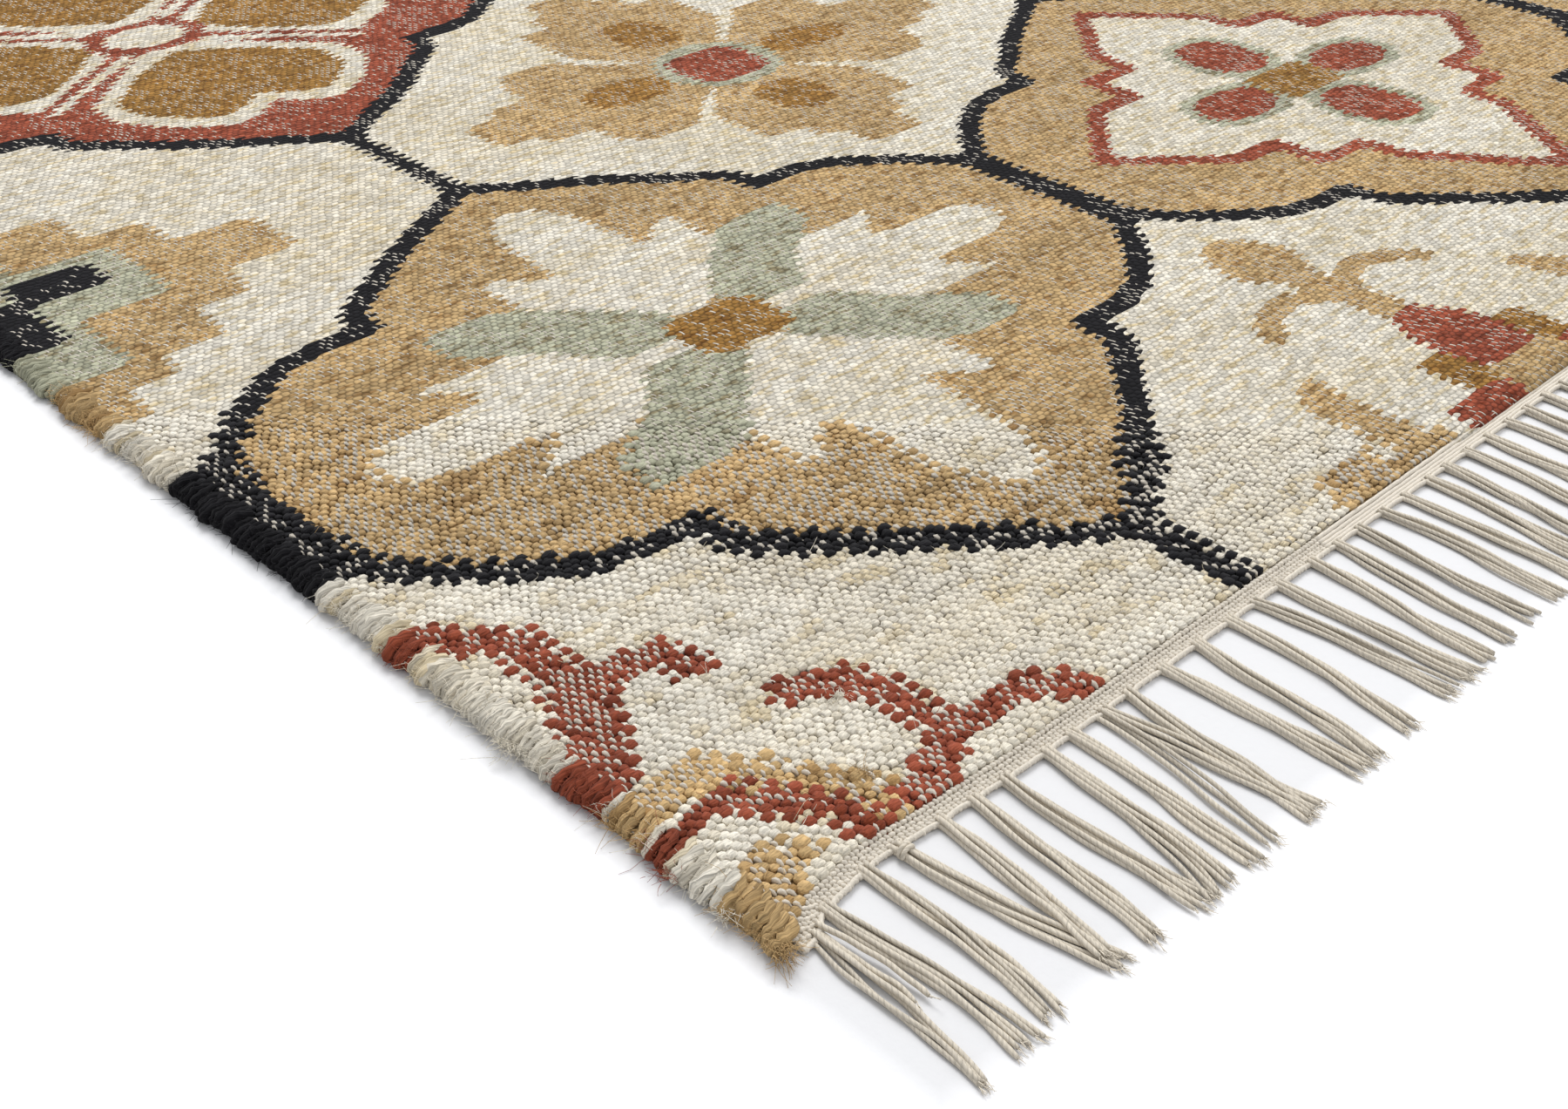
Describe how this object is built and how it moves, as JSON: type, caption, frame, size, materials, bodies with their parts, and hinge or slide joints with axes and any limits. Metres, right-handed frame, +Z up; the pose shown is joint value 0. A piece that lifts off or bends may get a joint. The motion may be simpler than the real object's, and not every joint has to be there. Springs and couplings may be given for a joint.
{
  "type": "kilim rug",
  "caption": "Flat-woven jute kilim rug lying flat, with wrapped selvedges, a narrow cotton heading and a bunched warp fringe along each end.",
  "frame": {"origin": "on the floor under the middle of the rug", "axes": "+X along the weft, from one selvedge to the other; +Y along the warp, from the front fringe to the back fringe; +Z up"},
  "size_m": [1.603, 2.5742, 0.0064],
  "materials": {
    "jute_weave": "plain-woven jute in cream, tan, ochre, sage, brick red and blue-black, matt",
    "cotton_web": "undyed cotton web, matt",
    "cotton_fringe": "undyed plied cotton strands, matt"
  },
  "bodies": {
    "root": {"kilim_cloth": "jute_weave", "heading_front": "cotton_web", "heading_back": "cotton_web", "fringe_front": "cotton_fringe", "fringe_back": "cotton_fringe"}
  },
  "joints": []
}
